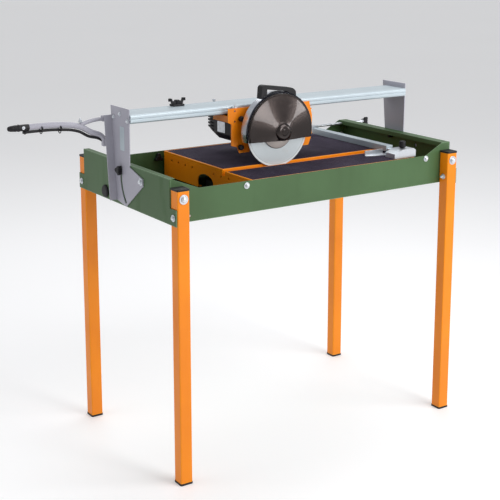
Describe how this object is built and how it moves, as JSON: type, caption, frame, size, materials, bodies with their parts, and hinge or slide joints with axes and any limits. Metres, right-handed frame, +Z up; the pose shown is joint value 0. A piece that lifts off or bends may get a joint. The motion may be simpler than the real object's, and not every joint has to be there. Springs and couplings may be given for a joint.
{
  "type": "tile cutter",
  "caption": "Bridge-type wet tile cutter: a tilting rail with a sliding guarded blade head over a matted table in a water tank on legs.",
  "frame": {"origin": "middle of the footprint of the bounding box, on the floor", "axes": "+X along the machine to the right, +Y to the back, +Z up"},
  "size_m": [1.5024, 0.663, 1.1575],
  "materials": {
    "orange_paint": "semi-gloss powder coat",
    "green_paint": "satin paint on folded sheet",
    "grey_paint": "silver-grey paint",
    "aluminium": "drawn extrusion",
    "steel": "zinc-plated and turned",
    "blade_steel": "ground disc with a diamond rim",
    "guard_metal": "polished band",
    "black_plastic": "moulded, fine grain",
    "black_enamel": "gloss black",
    "rubber_mat": "ribbed anti-slip mat",
    "start_green": "gloss",
    "stop_red": "gloss"
  },
  "bodies": {
    "stand": {"leg_front_left": "orange_paint", "leg_front_right": "orange_paint", "leg_back_left": "orange_paint", "leg_back_right": "orange_paint", "table_main_tray": "orange_paint", "table_front_tray": "orange_paint", "table_side_left": "orange_paint", "table_side_right": "orange_paint", "tank_front_wall": "green_paint", "tank_back_wall": "green_paint", "tank_floor": "green_paint", "tank_left_wall": "green_paint", "tank_right_wall": "green_paint", "foot_front_left": "black_plastic", "foot_front_right": "black_plastic", "foot_back_left": "black_plastic", "foot_back_right": "black_plastic", "water_pump": "black_plastic", "mat_main": "rubber_mat", "mat_front": "rubber_mat"},
    "bridge": {"upright_left": "grey_paint", "upright_right": "grey_paint", "rail": "aluminium", "pivot_bolt_left": "steel", "pivot_bolt_right": "steel", "cable_arm": "grey_paint", "supply_cable": "black_plastic", "inlet_plug": "black_plastic", "rail_clamp": "black_plastic"},
    "head": {"carriage": "orange_paint", "motor": "black_enamel", "motor_rear_cover": "black_plastic", "guard_band": "guard_metal", "guard_cover": "black_enamel", "handle": "black_plastic", "switch_box": "black_plastic"},
    "blade_set": {"arbor": "steel", "blade": "blade_steel", "blade_flange": "steel", "arbor_nut": "steel"},
    "fence": {"fence_bar": "aluminium", "fence_rod": "steel", "fence_clamp_block": "steel", "fence_pull_knob": "black_plastic"},
    "tilt_knob_left_body": {"tilt_knob_left": "black_plastic"},
    "tilt_knob_right_body": {"tilt_knob_right": "black_plastic"},
    "fence_block_knob_body": {"fence_block_knob": "black_plastic"},
    "fence_end_screw_body": {"fence_end_screw": "black_plastic"},
    "angle_stop_body": {"angle_stop": "steel"},
    "angle_stop_knob_body": {"angle_stop_knob": "black_plastic"},
    "rail_clamp_knob_body": {"rail_clamp_knob": "black_plastic"},
    "head_knob_1_body": {"head_knob_1": "black_plastic"},
    "head_knob_2_body": {"head_knob_2": "black_plastic"},
    "start_button_body": {"start_button": "start_green"},
    "stop_button_body": {"stop_button": "stop_red"},
    "drain_plug_body": {"drain_plug": "black_plastic"},
    "guide_roller_1_body": {"guide_roller_1": "steel"},
    "guide_roller_2_body": {"guide_roller_2": "steel"},
    "guide_roller_3_body": {"guide_roller_3": "steel"},
    "guide_roller_4_body": {"guide_roller_4": "steel"}
  },
  "joints": [
    {"name": "bridge_tilt", "type": "hinge", "parent": "stand", "child": "bridge", "pos_m": [-0.41515, -0.1145, 0.899], "axis": [1, 0, 0], "range_deg": [0, 45]},
    {"name": "head_slide", "type": "slide", "parent": "bridge", "child": "head", "axis": [1, 0, 0], "range_m": [-0.29, 0.31]},
    {"name": "guide_roller_1_roll", "type": "hinge", "parent": "head", "child": "guide_roller_1_body", "pos_m": [-0.05315, -0.0622, 1.076], "axis": [0, 0, 1], "range_deg": [-2000, 2000]},
    {"name": "guide_roller_2_roll", "type": "hinge", "parent": "head", "child": "guide_roller_2_body", "pos_m": [-0.05315, 0.0632, 1.076], "axis": [0, 0, 1], "range_deg": [-2000, 2000]},
    {"name": "guide_roller_3_roll", "type": "hinge", "parent": "head", "child": "guide_roller_3_body", "pos_m": [0.20585, -0.0622, 1.076], "axis": [0, 0, 1], "range_deg": [-2000, 2000]},
    {"name": "guide_roller_4_roll", "type": "hinge", "parent": "head", "child": "guide_roller_4_body", "pos_m": [0.20585, 0.0632, 1.076], "axis": [0, 0, 1], "range_deg": [-2000, 2000]},
    {"name": "blade_spin", "type": "hinge", "parent": "head", "child": "blade_set", "pos_m": [0.07285, -0.1165, 1.007], "axis": [0, 1, 0], "continuous": true},
    {"name": "tilt_knob_left_turn", "type": "hinge", "parent": "stand", "child": "tilt_knob_left_body", "pos_m": [-0.42175, 0.0127, 0.91327], "axis": [-1, 0, 0], "range_deg": [0, 360]},
    {"name": "tilt_knob_right_turn", "type": "hinge", "parent": "stand", "child": "tilt_knob_right_body", "pos_m": [0.66845, 0.0127, 0.91327], "axis": [1, 0, 0], "range_deg": [0, 360]},
    {"name": "fence_slide", "type": "slide", "parent": "stand", "child": "fence", "axis": [1, 0, 0], "range_m": [-0.065, 0]},
    {"name": "angle_stop_swing", "type": "hinge", "parent": "fence", "child": "angle_stop_body", "pos_m": [0.47285, -0.2005, 0.901], "axis": [0, 0, 1], "range_deg": [-45, 0]},
    {"name": "angle_stop_knob_turn", "type": "hinge", "parent": "fence", "child": "angle_stop_knob_body", "pos_m": [0.47285, -0.2005, 0.908], "axis": [0, 0, 1], "range_deg": [0, 360]},
    {"name": "fence_block_knob_turn", "type": "hinge", "parent": "fence", "child": "fence_block_knob_body", "pos_m": [0.48685, -0.2465, 0.94], "axis": [0, 0, 1], "range_deg": [0, 360]},
    {"name": "fence_end_screw_turn", "type": "hinge", "parent": "fence", "child": "fence_end_screw_body", "pos_m": [0.53485, -0.2465, 0.9138], "axis": [1, 0, 0], "range_deg": [0, 360]},
    {"name": "rail_clamp_knob_turn", "type": "hinge", "parent": "bridge", "child": "rail_clamp_knob_body", "pos_m": [-0.20515, 0.0395, 1.1], "axis": [0, 0, 1], "range_deg": [0, 180]},
    {"name": "head_knob_1_turn", "type": "hinge", "parent": "head", "child": "head_knob_1_body", "pos_m": [-0.04315, -0.0825, 1.051], "axis": [0, -1, 0], "range_deg": [0, 360]},
    {"name": "head_knob_2_turn", "type": "hinge", "parent": "head", "child": "head_knob_2_body", "pos_m": [-0.04515, -0.0825, 0.96], "axis": [0, -1, 0], "range_deg": [0, 360]},
    {"name": "start_press", "type": "slide", "parent": "head", "child": "start_button_body", "axis": [-1, 0, 0], "range_m": [0, 0.004], "stiffness_N_per_m": 400},
    {"name": "stop_press", "type": "slide", "parent": "head", "child": "stop_button_body", "axis": [-1, 0, 0], "range_m": [0, 0.004], "stiffness_N_per_m": 400},
    {"name": "drain_plug_pull", "type": "slide", "parent": "stand", "child": "drain_plug_body", "axis": [-1, 0, 0], "range_m": [0, 0.05]}
  ],
  "couplings": [
    {"joint": "guide_roller_1_roll", "follows": "head_slide", "rad_per_m": 106.38},
    {"joint": "guide_roller_2_roll", "follows": "head_slide", "rad_per_m": -106.38},
    {"joint": "guide_roller_3_roll", "follows": "head_slide", "rad_per_m": 106.38},
    {"joint": "guide_roller_4_roll", "follows": "head_slide", "rad_per_m": -106.38}
  ]
}
